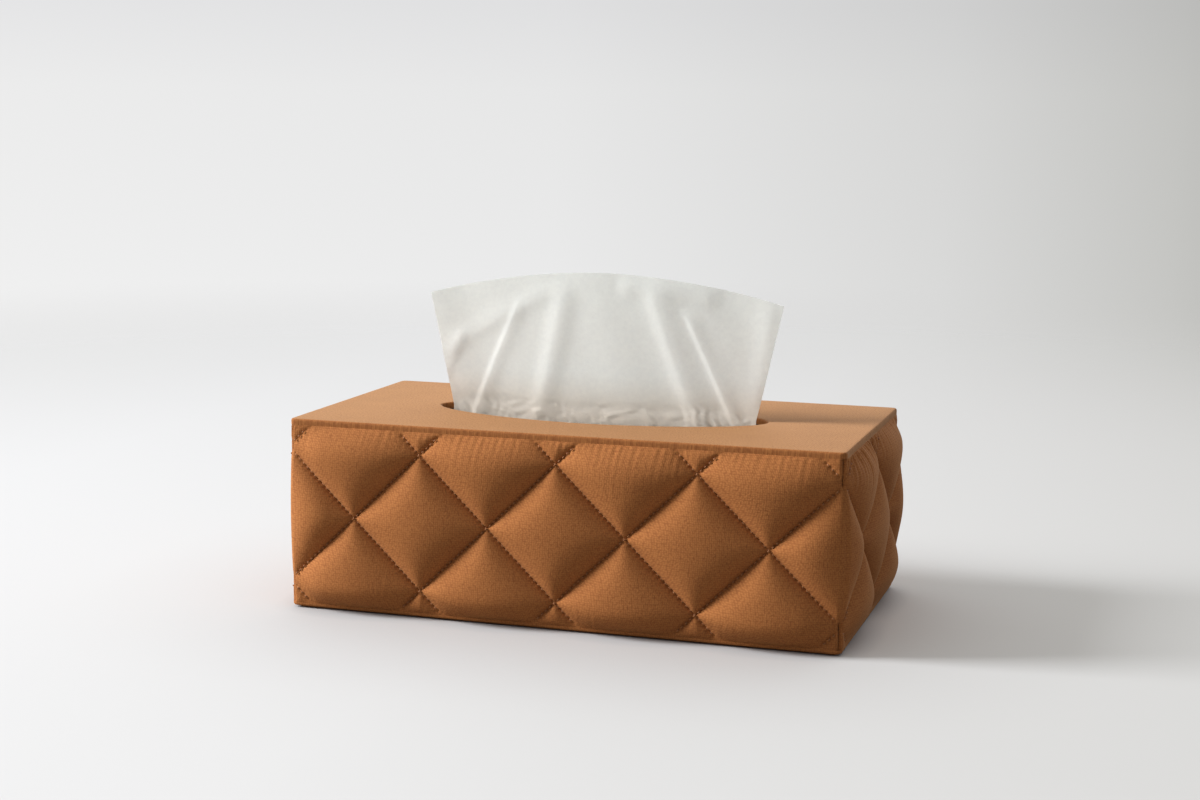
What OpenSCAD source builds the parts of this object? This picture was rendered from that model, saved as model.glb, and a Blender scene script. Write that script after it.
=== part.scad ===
// Quilted cover for a flat carton of tissues, with the carton, its tissues and one tissue pulled up.
// X runs along the cover, Y from front to back and Z up. The origin is the middle of the base.

/* [Cover] */
// Length of the cover at its top edge
cover_w = 262; // [220:1:320]
// Depth of the cover at its top edge
cover_d = 135; // [120:1:170]
// Height of the cover
cover_h = 90; // [75:1:120]
// Radius of the four upright corners at the top edge
corner_r = 3; // [2:0.5:6]
// Rounding of the top edge
edge_r = 0.7; // [0.3:0.1:0.8]

/* [Layers] */
// Thickness of the microfibre covering
skin_t = 0.8; // [0.8:0.1:1.2]
// Thickness of the stiffening boards
board_t = 2; // [1.5:0.1:3]
// Thickness of the fabric lining
lining_t = 0.6; // [0.4:0.1:1]
// Thickness of the quilted panel where it is sewn down at its borders
border_t = 1.6; // [1.2:0.1:2.4]

/* [Quilting] */
// Diamonds along the front and the back
diamonds_w = 4; // [3:1:6]
// Diamonds along each end
diamonds_d = 2; // [2:1:4]
// Height of one diamond
diamond_h = 63.5; // [50:0.5:80]
// Height of a puff above its stitching
puff = 7; // [3:0.1:8]
// Height of the stitching lines above the sewn borders
stitch_rise = 0.5; // [0.3:0.1:3]
// Fullness of a puff: the lower the value, the steeper its flanks
puff_power = 0.9; // [0.5:0.01:1.2]
// Sharpness of the crease that runs into a puff from each of its corners
crease = 2.5; // [1:0.1:4]
// Width over which the padding thins out towards the seam under the top
top_roll = 13; // [4:0.5:20]
// Width over which it thins out towards the hem
hem_roll = 16; // [4:0.5:24]
// Width over which the padding wraps round an upright corner
corner_wrap = 20; // [8:0.5:24]
// Share of the padding's height left on the two right-hand corners
right_share = 0.4; // [0.3:0.01:0.8]
// Share of it left on the two left-hand corners, which are pressed flatter
left_share = 0.06; // [0.02:0.01:0.8]
// Width of the dip along the upright corner seams, above and below the diamonds
corner_dip = 6; // [3:0.5:10]

/* [Slot] */
// Length of the dispensing slot
slot_l = 162; // [130:1:180]
// Width of the dispensing slot
slot_w = 63; // [45:1:80]
// Roundness of the slot: 2 is an ellipse, lower is more pointed at the ends
slot_power = 1.76; // [1.5:0.01:2.2]

/* [Hem] */
// Height of the hem strip
hem_h = 2.8; // [2:0.1:5]
// Thickness of the strip under the walls and inside them
hem_t = 0.8; // [0.5:0.1:1.2]

/* [Carton] */
// Clearance between the carton and the lining at each end
carton_gap_w = 5; // [1:0.5:8]
// Clearance between the carton and the lining at front and back
carton_gap_d = 4; // [1:0.5:6]
// Clearance between the top of the carton and the lining
carton_gap_h = 0.5; // [0.3:0.1:0.9]
// Thickness of the cardboard
card_t = 0.5; // [0.4:0.1:0.8]
// Margin of the carton's oval opening round the cover's slot
opening_margin = 3.5; // [1:0.5:6]
// Thickness of the film glued under the opening
film_t = 0.2; // [0.1:0.05:0.3]
// Border of the film glued to the card round the opening
film_border = 8; // [4:1:12]
// Length of the slit in the film
slit_l = 157; // [120:1:170]
// Width of the slit where the tissue holds it open
slit_w = 13; // [8:0.5:20]

/* [Tissues] */
// Clearance between the folded tissues and each end of the carton
stack_gap_w = 21.3; // [10:0.1:30]
// Clearance between the folded tissues and the carton's front and back
stack_gap_d = 6.3; // [2:0.1:9]
// Thickness drawn for one two-ply tissue
sheet_t = 0.4; // [0.3:0.05:0.6]
// Height of the folded stack
stack_h = 72; // [20:1:76]
// Height of the pulled tissue above the cover, at its middle
raised_h = 67; // [50:1:75]
// Drop of the tissue's top edge from its middle to its corners
raised_drop = 12.5; // [4:0.5:18]
// Half width of the pulled tissue at its top edge
raised_top = 87.5; // [78:0.5:95]
// Half width of the pulled tissue where it passes the slot
raised_foot = 75.5; // [60:0.5:76]

/* [Hidden] */

tan_top = "#c08a60";
tan_quilt = "#a5673f";
tan_hem = "#8a5230";
board_grey = "#a39a8c";
lining_brown = "#4f3a2c";
card_white = "#e6e2d8";
film_clear = "#dfe6e8";
tissue_white = "#f1f0ec";

half_w = cover_w / 2;
half_d = cover_d / 2;
// Outer faces of the wall boards, half length and half depth
board_w = half_w - border_t;
board_d = half_d - border_t;
// Inner faces of the wall boards
lining_w = board_w - board_t;
lining_d = board_d - board_t;
// Inner faces of the lining
room_w = lining_w - lining_t;
room_d = lining_d - lining_t;
// Underside of the top board, where the quilting is sewn to the top
seam_z = cover_h - skin_t - board_t;
room_z = seam_z - lining_t;
mid_z = cover_h / 2;

carton_w = 2 * (room_w - carton_gap_w);
carton_d = 2 * (room_d - carton_gap_d);
carton_h = room_z - carton_gap_h;
// Folded tissues: each sheet lies folded once across its middle
stack_w = carton_w - 2 * (card_t + stack_gap_w);
stack_d = carton_d - 2 * (card_t + stack_gap_d);
stack_top = card_t + stack_h;
// One tissue laid flat, along the carton and across its fold
sheet_w = stack_w;
sheet_l = 2 * stack_d;

// Points of one slot outline, a superellipse
slot_steps = 72;
function sgn_pow(a, p) = sign(a) * pow(abs(a), p);
function oval(l, w, power) = [for (i = [0 : slot_steps - 1]) let (a = 360 * i / slot_steps)
    [l / 2 * sgn_pow(cos(a), 2 / power), w / 2 * sgn_pow(sin(a), 2 / power)]];

module rounded_rect(w, d, r) {
    union() {
        square([w - 2 * r, d], center = true);
        square([w, d - 2 * r], center = true);
        for (x = [-1, 1], y = [-1, 1])
            translate([x * (w / 2 - r), y * (d / 2 - r)]) circle(r = r, $fn = 48);
    }
}

module slot_cut(grow, z0, z1) {
    translate([0, 0, z0]) linear_extrude(z1 - z0)
        polygon(oval(slot_l + 2 * grow, slot_w + 2 * grow, slot_power));
}

// Quarter round along one edge of the top, from the origin along +X
module edge_bar(length) {
    rotate([90, 0, 90]) intersection() {
        cylinder(r = edge_r, h = length, $fn = 48);
        cube([edge_r, edge_r, length]);
    }
}

// Slab with rounded upright corners and a rounded top edge
module soft_slab(w, d, z0, z1) {
    flat_w = w - 2 * corner_r;
    flat_d = d - 2 * corner_r;
    union() {
        translate([0, 0, z0]) linear_extrude(z1 - z0 - edge_r) rounded_rect(w, d, corner_r);
        translate([0, 0, z1 - edge_r]) linear_extrude(edge_r)
            rounded_rect(w - 2 * edge_r, d - 2 * edge_r, corner_r - edge_r);
        for (side = [-1, 1]) {
            translate([-flat_w / 2, side * (d / 2 - edge_r), z1 - edge_r])
                mirror([0, (1 - side) / 2, 0]) edge_bar(flat_w);
            translate([side * (w / 2 - edge_r), -flat_d / 2, z1 - edge_r])
                mirror([(1 - side) / 2, 0, 0]) rotate([0, 0, 90]) mirror([0, 1, 0]) edge_bar(flat_d);
        }
        for (corner = [0 : 3])
            translate([(corner == 0 || corner == 3 ? 1 : -1) * flat_w / 2,
                       (corner < 2 ? 1 : -1) * flat_d / 2, z1 - edge_r])
                rotate([0, 0, 90 * corner]) rotate_extrude(angle = 90, $fn = 96)
                    translate([corner_r - edge_r, 0]) intersection() {
                        circle(r = edge_r, $fn = 48);
                        square(edge_r);
                    }
    }
}

module top_cover() {
    color(tan_top) difference() {
        soft_slab(cover_w, cover_d, seam_z, cover_h);
        difference() {
            translate([0, 0, seam_z]) linear_extrude(board_t)
                rounded_rect(cover_w - 2 * skin_t, cover_d - 2 * skin_t, corner_r - skin_t);
            slot_cut(skin_t, seam_z - 1, cover_h);
        }
        slot_cut(0, seam_z - 1, cover_h + 1);
    }
}

module top_board() {
    color(board_grey) difference() {
        translate([0, 0, seam_z]) linear_extrude(board_t)
            rounded_rect(cover_w - 2 * skin_t, cover_d - 2 * skin_t, corner_r - skin_t);
        slot_cut(skin_t, seam_z - 1, cover_h);
    }
}

// Swelling of the padding between two stitching lines, 0 on a line and 1 half way
function swell(a) = pow(max(0, 1 - 4 * pow(a - round(a), 2)), puff_power);

// Height of one puff between two pairs of stitching lines, 0 on them and 1 in the middle
function pillow(u, v) =
    let (a = swell(u), b = swell(v), larger = pow((pow(a, crease) + pow(b, crease)) / 2, 1 / crease))
    larger > 0 ? a * b / larger : 0;

// The two diagonal coordinates of the quilting: stitching lies where one is a whole number plus a half
function quilt_u(s, z, half, pitch) = (s + half) / pitch + (z - mid_z) / diamond_h;
function quilt_v(s, z, half, pitch) = (s + half) / pitch - (z - mid_z) / diamond_h;

// Rounded rise from 0 at an edge to 1 at the given distance from it
function rolled(dist, width) = dist >= width ? 1 : sin(90 * max(0, dist / width));

// Smooth step from 0 to 1
function eased(t) = let (c = min(1, max(0, t))) c * c * (3 - 2 * c);

// How near the point lies to the corner, 0 clear of it and 1 on it
function to_corner(s, half) = max(0, 1 - (half - abs(s)) / corner_wrap);

// How much of the corner seam shows at a height: 0 beside the diamonds, 1 above and below them
function seam_shows(z) = eased((abs(z - mid_z) - diamond_h / 2 + corner_dip) / corner_dip);

// Height of the padding over the sewn border at s along the panel and z up it
function pad(s, z, half, pitch, shares) =
    let (puffed = pillow(quilt_u(s, z, half, pitch), quilt_v(s, z, half, pitch)),
         share = s < 0 ? shares[0] : shares[1],
         drawn_in = seam_shows(z) * (1 - rolled(half - abs(s), corner_dip)))
    (stitch_rise + puff * puffed) * rolled(seam_z - z, top_roll) * rolled(z - hem_h, hem_roll)
        * (share + (1 - share) * rolled(half - abs(s), corner_wrap)) * (1 - drawn_in);

// Point of the quilted face: along the panel, out from the panel's outer plane and up
function quilt_point(s, z, half, pitch, shares) =
    let (past = max(0, abs(s) - half + corner_r) / corner_r * 45,
         lean = 45 * pow(to_corner(s, half), 1.5),
         height = pad(s, z, half, pitch, shares),
         along = min(abs(s), half - corner_r) + corner_r * sin(past) + height * sin(lean))
    [sign(s) * along, corner_r * (1 - cos(past)) - height * cos(lean), z];

// Grid of the quilting: cells per diamond, and finer lines close to the seams and corners
cells = 12;
seam_lines = [0, 0.4, 1.4, 3];
clear_of_seam = 4;
function quilt_rows() =
    let (n = floor(((seam_z - hem_h) / 2 - clear_of_seam) / (diamond_h / cells)))
    concat([for (e = seam_lines) hem_h + e],
           [for (j = [-n : n]) (seam_z + hem_h) / 2 + j * diamond_h / cells],
           [for (e = [len(seam_lines) - 1 : -1 : 0]) seam_z - seam_lines[e]]);
function quilt_columns(half, count) =
    let (pitch = 2 * half / count, step = pitch / cells, first = ceil((corner_r + 1) / step))
    concat([-half, -half + corner_r / 2, -half + corner_r],
           [for (i = [first : count * cells - first]) -half + i * step],
           [half - corner_r, half - corner_r / 2, half]);

// Quilted panel: its outer plane is y = 0 and its back lies on the board at y = border_t.
// The shares are those of the padding left on its corners, first and last.
module quilt_panel(half, count, shares) {
    pitch = 2 * half / count;
    columns = quilt_columns(half, count);
    rows = quilt_rows();
    nc = len(columns);
    nr = len(rows);
    back_half = half - border_t;
    face = [for (z = rows, s = columns) quilt_point(s, z, half, pitch, shares)];
    back = [for (z = rows, side = [-1, 1]) [side * back_half, border_t, z]];
    // Indices of the points of the back, left and right, row by row
    bl = [for (j = [0 : nr - 1]) nc * nr + 2 * j];
    br = [for (j = [0 : nr - 1]) nc * nr + 2 * j + 1];
    top = (nr - 1) * nc;
    // Each cell is split along the stitching line nearer to it
    falling = function (i, j)
        let (s = (columns[i] + columns[i + 1]) / 2, z = (rows[j] + rows[j + 1]) / 2,
             u = quilt_u(s, z, half, pitch), v = quilt_v(s, z, half, pitch))
        abs(u - floor(u) - 0.5) < abs(v - floor(v) - 0.5);
    front_faces = [for (j = [0 : nr - 2], i = [0 : nc - 2]) let (a = j * nc + i)
        each falling(i, j)
            ? [[a, a + nc, a + 1], [a + 1, a + nc, a + nc + 1]]
            : [[a, a + nc + 1, a + 1], [a, a + nc, a + nc + 1]]];
    end_faces = [for (i = [0 : nc - 2]) each [[i, i + 1, bl[0]], [top + i + 1, top + i, bl[nr - 1]]]];
    corner_faces = [[nc - 1, br[0], bl[0]], [top + nc - 1, bl[nr - 1], br[nr - 1]]];
    side_faces = [for (j = [0 : nr - 2]) let (l = j * nc, r = j * nc + nc - 1)
        each [[l + nc, l, bl[j]], [l + nc, bl[j], bl[j + 1]],
              [r, r + nc, br[j + 1]], [r, br[j + 1], br[j]],
              [bl[j + 1], bl[j], br[j]], [bl[j + 1], br[j], br[j + 1]]]];
    polyhedron(points = concat(face, back),
        faces = concat(front_faces, end_faces, corner_faces, side_faces), convexity = 10);
}

module front_quilt() {
    color(tan_quilt) translate([0, -half_d, 0])
        quilt_panel(half_w, diamonds_w, [left_share, right_share]);
}

module back_quilt() {
    color(tan_quilt) rotate([0, 0, 180]) translate([0, -half_d, 0])
        quilt_panel(half_w, diamonds_w, [right_share, left_share]);
}

module left_quilt() {
    color(tan_quilt) rotate([0, 0, -90]) translate([0, -half_w, 0])
        quilt_panel(half_d, diamonds_d, [left_share, left_share]);
}

module right_quilt() {
    color(tan_quilt) rotate([0, 0, 90]) translate([0, -half_w, 0])
        quilt_panel(half_d, diamonds_d, [right_share, right_share]);
}

// The long boards run the full length and the end boards stand between them
module long_board(side) {
    color(board_grey)
        translate([-board_w, side > 0 ? lining_d : -board_d, hem_t])
            cube([2 * board_w, board_t, seam_z - hem_t]);
}

module end_board(side) {
    color(board_grey)
        translate([side > 0 ? lining_w : -board_w, -lining_d, hem_t])
            cube([board_t, 2 * lining_d, seam_z - hem_t]);
}

module front_board() { long_board(-1); }

module back_board() { long_board(1); }

module left_board() { end_board(-1); }

module right_board() { end_board(1); }

module lining() {
    color(lining_brown) difference() {
        translate([-lining_w, -lining_d, hem_t]) cube([2 * lining_w, 2 * lining_d, seam_z - hem_t]);
        translate([-room_w, -room_d, 0]) cube([2 * room_w, 2 * room_d, room_z]);
        slot_cut(0, room_z - 1, seam_z + 1);
    }
}

// Strip folded up round the lower edge: the boards and the lining stand inside its fold
module bottom_binding() {
    leaf_w = room_w - hem_t;
    leaf_d = room_d - hem_t;
    color(tan_hem) difference() {
        linear_extrude(hem_h) rounded_rect(cover_w, cover_d, corner_r);
        translate([-leaf_w, -leaf_d, -1]) cube([2 * leaf_w, 2 * leaf_d, hem_h + 2]);
        difference() {
            translate([-board_w, -board_d, hem_t]) cube([2 * board_w, 2 * board_d, hem_h]);
            translate([-room_w, -room_d, 0]) cube([2 * room_w, 2 * room_d, hem_h + 1]);
        }
    }
}

module tissue_carton() {
    color(card_white) difference() {
        translate([-carton_w / 2, -carton_d / 2, 0]) cube([carton_w, carton_d, carton_h]);
        translate([-carton_w / 2 + card_t, -carton_d / 2 + card_t, card_t])
            cube([carton_w - 2 * card_t, carton_d - 2 * card_t, carton_h - 2 * card_t]);
        slot_cut(opening_margin, carton_h - card_t - 1, carton_h + 1);
    }
}

// Lens-shaped slit, as the tissue holds it open
module film_slit() {
    polygon(oval(slit_l, slit_w, slot_power));
}

module carton_film() {
    reach_l = slot_l + 2 * (opening_margin + film_border);
    reach_w = slot_w + 2 * (opening_margin + film_border);
    color(film_clear) translate([0, 0, carton_h - card_t - film_t]) linear_extrude(film_t)
        difference() {
            square([reach_l, reach_w], center = true);
            film_slit();
        }
}

module tissue_stack() {
    color(tissue_white) translate([-stack_w / 2, -stack_d / 2, card_t])
        cube([stack_w, stack_d, stack_h]);
}

// Folds of the pulled tissue, left to right: x at the slot, x at the top, half width, depth,
// and the height above the slot where the fold dies out
folds = [[-66, -52, 9, 3.5, 46],
         [-50, -26, 12, 4.5, 62],
         [-24, -14, 13, -3, 66],
         [16, 12, 18, 2, 60],
         [44, 26, 13, 4.5, 66],
         [64, 44, 9, 3.5, 50]];
// Radius of the tissue's bend from the stack up to the slot
bend_r = 4;
// Radius of its turn at the back of the stack
turn_r = 1.2;
// How far back the turn lies, and by how much it stays short of the stack's edge
turn_margin = 4;
turn_y = stack_d / 2 - turn_margin;
// Height above the cover at which the folds stand free of the slit
free_rise = 8;
rest_z = stack_top + sheet_t / 2;
bend_z = rest_z + 2 * turn_r + bend_r;
film_z = carton_h - card_t;

function raised_half(z) = raised_foot + (raised_top - raised_foot)
    * max(0, z - cover_h) / (raised_h - raised_drop);

// One fold: a smooth ridge that leans from its place at the slot to its place at the top
function fold_ridge(f, x, up) =
    let (lean = f[0] + (f[1] - f[0]) * up / raised_h, far = abs(x - lean) / f[2],
         fade = max(0, 1 - max(0, up) / f[4]))
    far >= 1 ? 0 : f[3] * pow(cos(90 * far), 2) * sqrt(fade);

// Shift of the pulled tissue towards the front, held small where it passes the film
function fold_shift(x, z) =
    let (up = z - cover_h, slit_room = (slit_w / 2 - 1.5) * max(0, 1 - pow(abs(2 * x / slit_l), 2)),
         whole = 1.5 * cos(x * 2.2) + [for (f = folds) fold_ridge(f, x, up)] * [for (f = folds) 1],
         held = max(-slit_room, min(slit_room, whole)),
         free = min(1, max(0, (z - film_z) / (cover_h + free_rise - film_z))),
         near_bend = min(1, max(0, (z - bend_z) / (film_z - bend_z))))
    near_bend * (held + (whole - held) * free);

// Route of the sheet at the share s of its half width, as [x, y, z, turn of its front face]
function upright(s, share) =
    let (top = cover_h + raised_h - raised_drop * pow(abs(s), 1.8), z = top + (bend_z - top) * share,
         x = s * raised_half(z))
    [x, -fold_shift(x, z), z, 180];
function laid_half(share) = raised_foot + (sheet_w / 2 - raised_foot) * min(1, share);
up_steps = 13;
bend_steps = 3;
turn_steps = 4;
// Length left for the lower run under the first one
lower_run = sheet_l - (cover_h + raised_h - bend_z) - bend_r * PI / 2 - (turn_y - bend_r)
    - turn_r * PI;
function sheet_route(s) = concat(
    [for (k = [0 : up_steps]) upright(s, k / up_steps)],
    [for (k = [1 : bend_steps]) let (a = 90 * k / bend_steps)
        [s * raised_foot, bend_r * (1 - cos(a)), bend_z - bend_r * sin(a), 180 + a]],
    [for (k = [1 : turn_steps]) let (a = 180 * k / turn_steps, run = turn_y)
        [s * laid_half(1), run + turn_r * sin(a), rest_z + turn_r * (1 + cos(a)), 270 - a]],
    [[s * laid_half(1), turn_y - lower_run, rest_z, 90]]);

module raised_tissue() {
    across = 34;
    routes = [for (i = [0 : across]) sheet_route(2 * i / across - 1)];
    n = len(routes[0]);
    // Front face first, then the back face, each half the sheet's thickness from the route
    side_points = function (sgn) [for (route = routes, p = route)
        [p[0], p[1] + sgn * sheet_t / 2 * cos(p[3]), p[2] + sgn * sheet_t / 2 * sin(p[3])]];
    m = (across + 1) * n;
    quads = [for (i = [0 : across - 1], j = [0 : n - 2]) let (a = i * n + j)
        [a, a + 1, a + n + 1, a + n]];
    tris = [for (q = quads) each [[q[0], q[1], q[2]], [q[0], q[2], q[3]]]];
    back_tris = [for (t = tris) [t[2] + m, t[1] + m, t[0] + m]];
    rim = concat([for (j = [0 : n - 1]) j], [for (i = [1 : across]) i * n + n - 1],
        [for (j = [n - 2 : -1 : 0]) across * n + j], [for (i = [across - 1 : -1 : 1]) i * n]);
    rim_tris = [for (k = [0 : len(rim) - 1]) let (a = rim[k], b = rim[(k + 1) % len(rim)])
        each [[a, a + m, b], [b, a + m, b + m]]];
    color(tissue_white) polyhedron(points = concat(side_points(1), side_points(-1)),
        faces = concat(tris, back_tris, rim_tris), convexity = 10);
}

top_cover();
top_board();
front_quilt();
back_quilt();
left_quilt();
right_quilt();
front_board();
back_board();
left_board();
right_board();
lining();
bottom_binding();
tissue_carton();
carton_film();
tissue_stack();
raised_tissue();
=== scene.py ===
"""A quilted microfibre tissue box cover, its carton and the tissue pulled up through it."""

import math
from collections import namedtuple

import bpy
import numpy as np
from mathutils import Matrix, Vector


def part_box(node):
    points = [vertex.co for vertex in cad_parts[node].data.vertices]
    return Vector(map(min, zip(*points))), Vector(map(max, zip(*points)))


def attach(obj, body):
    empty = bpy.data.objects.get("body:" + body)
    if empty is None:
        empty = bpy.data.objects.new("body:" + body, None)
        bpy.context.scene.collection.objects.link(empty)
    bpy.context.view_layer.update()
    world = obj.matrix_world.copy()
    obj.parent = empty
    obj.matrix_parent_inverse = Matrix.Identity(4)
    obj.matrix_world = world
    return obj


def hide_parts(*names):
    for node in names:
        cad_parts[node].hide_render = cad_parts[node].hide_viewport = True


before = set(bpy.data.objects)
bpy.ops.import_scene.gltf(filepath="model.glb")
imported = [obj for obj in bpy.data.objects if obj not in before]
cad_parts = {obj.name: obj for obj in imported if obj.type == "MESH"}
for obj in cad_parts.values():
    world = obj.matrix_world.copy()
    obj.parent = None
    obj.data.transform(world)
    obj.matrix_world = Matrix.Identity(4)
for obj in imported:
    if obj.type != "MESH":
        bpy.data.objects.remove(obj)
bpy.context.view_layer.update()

MM = 0.001

# Sizes taken from the frame, in metres
top_low, top_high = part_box("top_cover")
half_w = top_high[0]
half_d = top_high[1]
cover_h = top_high[2]
seam_z = top_low[2]
hem_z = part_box("bottom_binding")[1][2]
board_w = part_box("front_board")[1][0]
border_t = half_w - board_w
skin_t = cover_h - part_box("top_board")[1][2]
film_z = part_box("carton_film")[1][2]
stack_low, stack_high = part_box("tissue_stack")

# Corner and edge roundings of the cover
corner_r = 3.0 * MM
edge_r = 1.0 * MM
rim_r = 1.2 * MM

# Quilting: diamonds along a long wall and along an end, and the shape of one puff
diamonds_w = 4
diamonds_d = 2
diamond_h = 63.5 * MM
mid_z = cover_h / 2
puff = 7.0 * MM
stitch_rise = 0.5 * MM
puff_power = 0.9
crease = 2.5
top_roll = 19.0 * MM
corner_wrap = 20.0 * MM
right_share = 0.4
left_share = 0.06
corner_dip = 6.0 * MM
corner_groove = 1.3 * MM
groove_reach = 1.1 * MM
edge_flat = 1.5 * MM
wall_cells = 96

# Gathers at the top seam and the hem, and where their waves lie
gather_pitch = 3.3 * MM
gather_pitch_2 = 5.1 * MM
gather_reach = 5.0 * MM
hem_gathers = 0.1 * MM

# Stitches: how many along a diamond's side, how deep the needle draws the cloth in and how far from
# the seams they stop, then how high the thread lies on the falling lines and on the slacker rising ones
stitches_per_side = 17
stitch_pit = 0.5 * MM
pit_reach = 1.0 * MM
stitch_end_gap = 1.6 * MM
stitch_corner_gap = 2.6 * MM
stitch_lift = 0.06 * MM
slack_lift = 0.8 * MM
stitch_share = 0.58
thread_r = 0.32 * MM

# Dispensing slot, a superellipse, and the slit in the film below it with the room beside the tissue
slot_l = 162 * MM
slot_w = 63 * MM
slot_power = 1.76
slit_l = 157 * MM
slit_w = 13 * MM
slit_margin = 1.5 * MM

# Pulled tissue: a two-ply sheet of 200 x 210 mm, its height over the cover, the drop to its corners,
# its half widths at the head and at the foot, and how it bends and turns on the pack
sheet_w = 200 * MM
sheet_l = 210 * MM
sheet_t = 0.14 * MM
raised_h = 67 * MM
raised_drop = 12.5 * MM
raised_top = 87.5 * MM
raised_foot = 75.5 * MM
turn_r = 1.2 * MM
bend_r = 4.0 * MM
rest_gap = 0.2 * MM


# Meshes

def new_piece(name, points, faces, smooth=True):
    """Makes a mesh object of points in metres and faces of point numbers."""
    mesh = bpy.data.meshes.new(name)
    mesh.from_pydata([tuple(p) for p in points], [], [tuple(int(i) for i in f) for f in faces])
    mesh.validate()
    mesh.update()
    if smooth:
        mesh.polygons.foreach_set("use_smooth", [True] * len(mesh.polygons))
        mesh.set_sharp_from_angle(angle=math.radians(58))
    piece = bpy.data.objects.new(name, mesh)
    bpy.context.scene.collection.objects.link(piece)
    return piece


def grid_faces(columns, rows):
    """Quads of a grid whose points run along its columns first."""
    i, j = np.meshgrid(np.arange(columns - 1), np.arange(rows - 1))
    a = (j * columns + i).ravel()
    return np.stack([a, a + 1, a + columns + 1, a + columns], axis=1)


def smooth_noise(values, spacing, seed):
    """Smooth random curve between -1 and 1, with one random value every spacing."""
    rng = np.random.default_rng(seed)
    table = rng.uniform(-1, 1, 512)
    place = np.asarray(values) / spacing + 128
    low = np.floor(place).astype(int)
    part = place - low
    part = part * part * (3 - 2 * part)
    return table[low % 512] * (1 - part) + table[(low + 1) % 512] * part


# Quilted walls

# A wall's half length and its distance from the middle of the cover, its diamonds and their pitch,
# the side of a diamond, the turn from the front, the padding left on its ends, how tightly they
# are drawn in, the width of the roll over its hem, the depth of its top gathers and its random seed
Wall = namedtuple("Wall", "half half_out count pitch side_length turn shares tuck hem_roll gathers seed")


def quilt_uv(s, z, half, pitch):
    """Diagonal coordinates of the quilting: stitches run where one is a whole number plus a half."""
    along = (s + half) / pitch
    up = (z - mid_z) / diamond_h
    return along + up, along - up


def swell(a):
    """Swelling of the padding between two stitching lines, 0 on a line and 1 half way."""
    return np.maximum(0, 1 - 4 * (a - np.round(a)) ** 2) ** puff_power


def pillow(u, v):
    """Height of one puff, 0 on its stitching and 1 in its middle: full, with creases that fade
    away from the crossings."""
    a, b = swell(u), swell(v)
    return a * b / np.maximum(1e-6, (a ** crease + b ** crease) / 2) ** (1 / crease)


def rolled(dist, width):
    """Rounded rise from 0 at an edge to 1 at the given distance from it."""
    return np.sin(np.pi / 2 * np.clip(dist / width, 0, 1))


def thinned(dist, width):
    """Thinning of the padding towards a seam: 0 on it, 1 clear of it, without a visible start."""
    return 1 - (1 - np.clip(dist / width, 0, 1)) ** 3


def eased(t):
    """Smooth step from 0 to 1."""
    t = np.clip(t, 0, 1)
    return t * t * (3 - 2 * t)


def to_corner(s, half):
    """How near a point lies to an upright corner, 0 clear of it and 1 on it."""
    return np.clip(1 - (half - np.abs(s)) / corner_wrap, 0, 1)


def seam_shows(z):
    """How much of the corner seam shows at a height: 0 beside the diamonds, 1 above and below."""
    return eased((np.abs(z - mid_z) - diamond_h / 2 + corner_dip) / corner_dip)


def puckers(s, z, gathers, seed):
    """Short gathers where the padding is sewn to the top and to the hem."""
    total = np.zeros_like(s)
    for edge, lean, seed_add, depth in ((seam_z - z, 0.12, 0, gathers), (z - hem_z, -0.1, 7, hem_gathers)):
        place = s + lean * edge + 1.3 * MM * smooth_noise(s, 9 * MM, seed + seed_add)
        wave = np.sin(2 * np.pi * place / gather_pitch) + 0.6 * np.sin(2 * np.pi * place / gather_pitch_2 + 1)
        reach = gather_reach * (1 + 0.5 * smooth_noise(place, 6 * MM, seed + seed_add + 1))
        fade = np.clip(edge / (0.8 * MM), 0, 1) * np.exp(-np.clip(edge, 0, None) / reach)
        total += depth * wave * fade * (0.65 + 0.5 * smooth_noise(s, 14 * MM, seed + seed_add + 2))
    return total


def stitch_dimples(u, v, side_length):
    """Fabric drawn in at each needle hole along the stitching lines."""
    total = np.zeros_like(u)
    for across, along in ((u, v), (v, u)):
        off = np.abs(across - np.floor(across) - 0.5) * side_length
        phase = along * stitches_per_side
        hole = 0.5 + 0.5 * np.cos(2 * np.pi * phase)
        total += hole * np.exp(-(off / pit_reach) ** 2)
    return -stitch_pit * total


def pad_height(s, z, wall):
    """Height of the padding over the plane of the sewn borders."""
    u, v = quilt_uv(s, z, wall.half, wall.pitch)
    edge = np.minimum(seam_z - z, z - hem_z)
    puffed = pillow(u, v)
    share = np.where(s < 0, wall.shares[0], wall.shares[1])
    drawn_in = seam_shows(z) * (1 - rolled(wall.half - np.abs(s), corner_dip))
    wrapped = rolled(wall.half - np.abs(s), corner_wrap) ** wall.tuck
    near_corner = (share + (1 - share) * wrapped) * (1 - drawn_in)
    at_seams = thinned(seam_z - z, top_roll) * thinned(z - hem_z, wall.hem_roll)
    body = (stitch_rise + puff * puffed) * at_seams * near_corner
    body = body - corner_groove * seam_shows(z) * np.exp(-((wall.half - np.abs(s)) / groove_reach) ** 2)
    free = np.clip(puffed * 2.5, 0, 1)
    body = body + puckers(s, z, wall.gathers, wall.seed) * (0.25 + 0.75 * free)
    return body + stitch_dimples(u, v, wall.side_length) * np.clip(edge / edge_flat, 0, 1)


def quilt_surface(s, z, wall, lift=0.0):
    """Points of the quilted face: along the wall, out from its outer plane and up."""
    past = np.clip(np.abs(s) - wall.half + corner_r, 0, None) / corner_r * (math.pi / 4)
    lean = math.pi / 4 * to_corner(s, wall.half) ** 1.5
    height = pad_height(s, z, wall) + lift
    along = np.minimum(np.abs(s), wall.half - corner_r) + corner_r * np.sin(past) + height * np.sin(lean)
    out = -corner_r * (1 - np.cos(past)) + height * np.cos(lean)
    return np.sign(s) * along, out, z


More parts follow.
